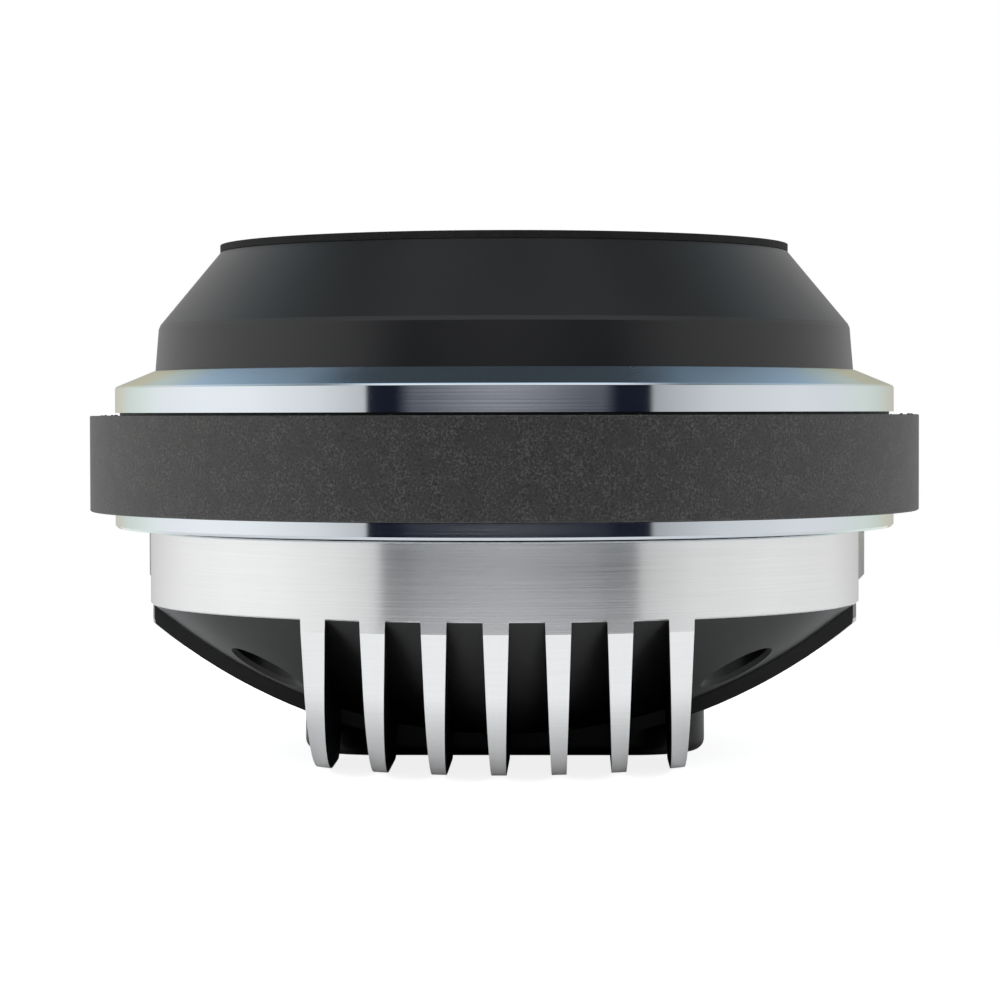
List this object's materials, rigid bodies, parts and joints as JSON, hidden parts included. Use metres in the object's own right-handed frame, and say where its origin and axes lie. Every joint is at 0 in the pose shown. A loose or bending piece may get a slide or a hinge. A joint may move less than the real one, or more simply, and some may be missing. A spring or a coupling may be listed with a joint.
{
  "type": "compression driver",
  "caption": "Ferrite compression driver with a conical black throat flange, zinc plated magnet plates and a round finned aluminium rear cover.",
  "frame": {"origin": "middle of the footprint at the tips of the rear cover's fins", "axes": "+Z along the driver's axis towards the throat, fins along Y, terminals at +Y"},
  "size_m": [0.18, 0.18, 0.11],
  "materials": {
    "gasket_rubber": "matte, fibrous edge",
    "flange_black": "matte black powder coat",
    "brass_insert": "plain machined",
    "black_steel": "black oxide",
    "zinc_steel": "turned, bright zinc plated with a faint blue and yellow passivation",
    "adhesive": "dark adhesive line",
    "ferrite": "ground charcoal ferrite, speckled",
    "copper": "bright copper",
    "plug_plastic": "moulded",
    "titanium_foil": "formed foil",
    "former_film": "amber film",
    "surround_film": "clear polymer film",
    "bare_aluminium": "machined",
    "cover_casting": "die cast, turned faces bare, the rest painted satin black",
    "foam": "open cell foam",
    "terminal_plastic": "moulded black",
    "tinned_brass": "tinned"
  },
  "bodies": {
    "driver_body": {"mounting_gasket": "gasket_rubber", "throat_flange": "flange_black", "mounting_inserts": "brass_insert", "throat_flange_screws": "black_steel", "upper_plate": "zinc_steel", "upper_glue_ring": "adhesive", "ferrite_magnet": "ferrite", "lower_glue_ring": "adhesive", "front_plate": "zinc_steel", "pole_piece": "zinc_steel", "shorting_cap": "copper", "phase_plug": "plug_plastic", "diaphragm_surround": "surround_film", "diaphragm_ring": "bare_aluminium", "diaphragm_screws": "black_steel", "locating_pins": "zinc_steel", "lead_strips": "tinned_brass", "lead_wires": "copper", "negative_tab": "tinned_brass", "positive_tab": "tinned_brass", "terminal_block": "terminal_plastic", "terminal_screws": "black_steel", "rear_cover": "cover_casting", "cover_gasket": "gasket_rubber", "damping_pad": "foam", "cover_screws": "black_steel", "cover_screw_washers": "black_steel"},
    "diaphragm": {"diaphragm_dome": "titanium_foil", "coil_former": "former_film", "voice_coil": "copper"}
  },
  "joints": [
    {"name": "diaphragm_travel", "type": "slide", "parent": "driver_body", "child": "diaphragm", "axis": [0, 0, 1], "range_m": [-0.0005, 0.0005], "stiffness_N_per_m": 2000, "deforming": ["diaphragm_surround"]}
  ]
}
